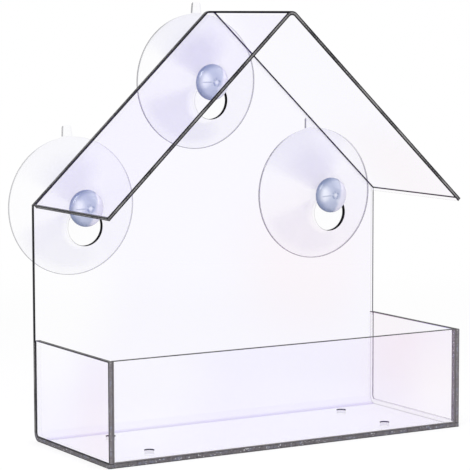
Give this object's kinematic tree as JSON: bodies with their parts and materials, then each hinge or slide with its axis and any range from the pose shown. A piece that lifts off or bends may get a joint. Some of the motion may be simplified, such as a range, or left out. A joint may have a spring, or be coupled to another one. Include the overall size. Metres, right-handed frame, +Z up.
{
  "type": "window bird feeder",
  "caption": "Clear acrylic bird feeder shaped like a small house, with a bent roof over an open food tray, hung on a window by suction cups that sit in keyholes.",
  "frame": {"origin": "centre of the floor's flat underside", "axes": "+Z up, +Y towards the window that the suction cups hold on to, +X to the right seen from the open front"},
  "size_m": [0.16, 0.07, 0.1614],
  "materials": {
    "clear_acrylic": "clear cast sheet with polished faces and dark-looking cut edges",
    "clear_vinyl": "soft clear vinyl with a faint blue tint"
  },
  "bodies": {
    "house": {"back_and_floor": "clear_acrylic", "roof": "clear_acrylic", "tray_side_left": "clear_acrylic", "tray_side_right": "clear_acrylic", "tray_front": "clear_acrylic"},
    "left_cup": {"suction_cup_left": "clear_vinyl"},
    "right_cup": {"suction_cup_right": "clear_vinyl"},
    "top_cup": {"suction_cup_top": "clear_vinyl"}
  },
  "joints": [
    {"name": "left_cup_slide", "type": "slide", "parent": "house", "child": "left_cup", "axis": [0, 0, 1], "range_m": [-0.007, 0]},
    {"name": "right_cup_slide", "type": "slide", "parent": "house", "child": "right_cup", "axis": [0, 0, 1], "range_m": [-0.007, 0]},
    {"name": "top_cup_slide", "type": "slide", "parent": "house", "child": "top_cup", "axis": [0, 0, 1], "range_m": [-0.007, 0]}
  ]
}
